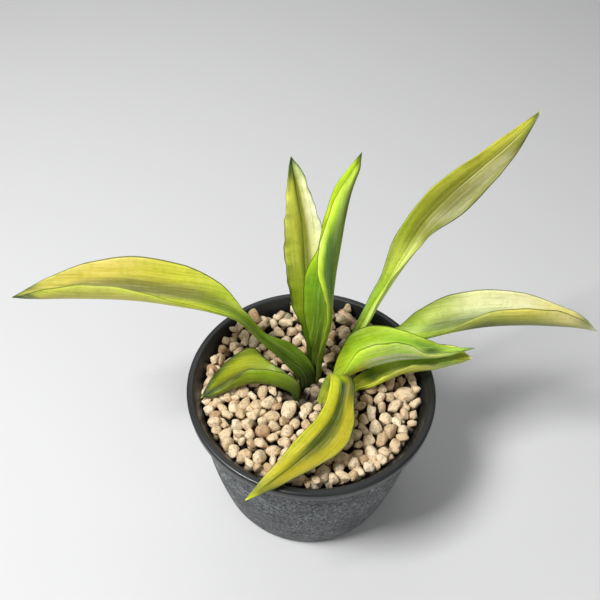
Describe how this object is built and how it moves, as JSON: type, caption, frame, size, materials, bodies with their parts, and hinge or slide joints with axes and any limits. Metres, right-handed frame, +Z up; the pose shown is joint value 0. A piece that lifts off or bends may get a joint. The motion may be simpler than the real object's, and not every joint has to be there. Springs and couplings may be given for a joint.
{
  "type": "potted plant",
  "caption": "Variegated snake plant with folded, pointed leaves fanning from short petioles, in a round tapered plastic pot topped with rounded pumice stones.",
  "frame": {"origin": "on the pot's axis, at the flat underside the pot stands on", "axes": "+Z up the pot's axis; -Y towards the pot's front, where the yellow leaf leans out; +X towards the pair of long leaves on the right"},
  "size_m": [0.3209, 0.1454, 0.2316],
  "materials": {
    "pot": "charcoal, satin rim and finely mottled side",
    "potting_mix": "dark, gritty and matt",
    "root": "smooth, dull orange-brown",
    "pumice": "cream to tan, matt, fine pores",
    "leaf": "yellow to cream with green streaks, softly waxy"
  },
  "bodies": {
    "root": {"pot": "pot", "potting_mix": "potting_mix", "rhizome": "root", "pumice_bed": "pumice", "leaf_left_long": "leaf", "leaf_left_short": "leaf", "leaf_back_upright": "leaf", "leaf_centre_upright": "leaf", "leaf_right_upright": "leaf", "leaf_right_long": "leaf", "leaf_right_folded": "leaf", "leaf_right_lower": "leaf", "leaf_front_yellow": "leaf", "pumice_stone_01": "pumice", "pumice_stone_02": "pumice", "pumice_stone_03": "pumice", "pumice_stone_04": "pumice", "pumice_stone_05": "pumice", "pumice_stone_06": "pumice", "pumice_stone_07": "pumice", "pumice_stone_08": "pumice", "pumice_stone_09": "pumice", "pumice_stone_10": "pumice", "pumice_stone_11": "pumice", "pumice_stone_12": "pumice", "pumice_stone_13": "pumice", "pumice_stone_14": "pumice", "pumice_stone_15": "pumice", "pumice_stone_16": "pumice", "pumice_stone_17": "pumice", "pumice_stone_18": "pumice", "pumice_stone_19": "pumice", "pumice_stone_20": "pumice", "pumice_stone_21": "pumice", "pumice_stone_22": "pumice", "pumice_stone_23": "pumice", "pumice_stone_24": "pumice", "pumice_stone_25": "pumice", "pumice_stone_26": "pumice", "pumice_stone_27": "pumice", "pumice_stone_28": "pumice", "pumice_stone_29": "pumice", "pumice_stone_30": "pumice", "pumice_stone_31": "pumice", "pumice_stone_32": "pumice", "pumice_stone_33": "pumice", "pumice_stone_34": "pumice", "pumice_stone_35": "pumice", "pumice_stone_36": "pumice", "pumice_stone_37": "pumice", "pumice_stone_38": "pumice", "pumice_stone_39": "pumice", "pumice_stone_40": "pumice", "pumice_stone_41": "pumice", "pumice_stone_42": "pumice"}
  },
  "joints": []
}
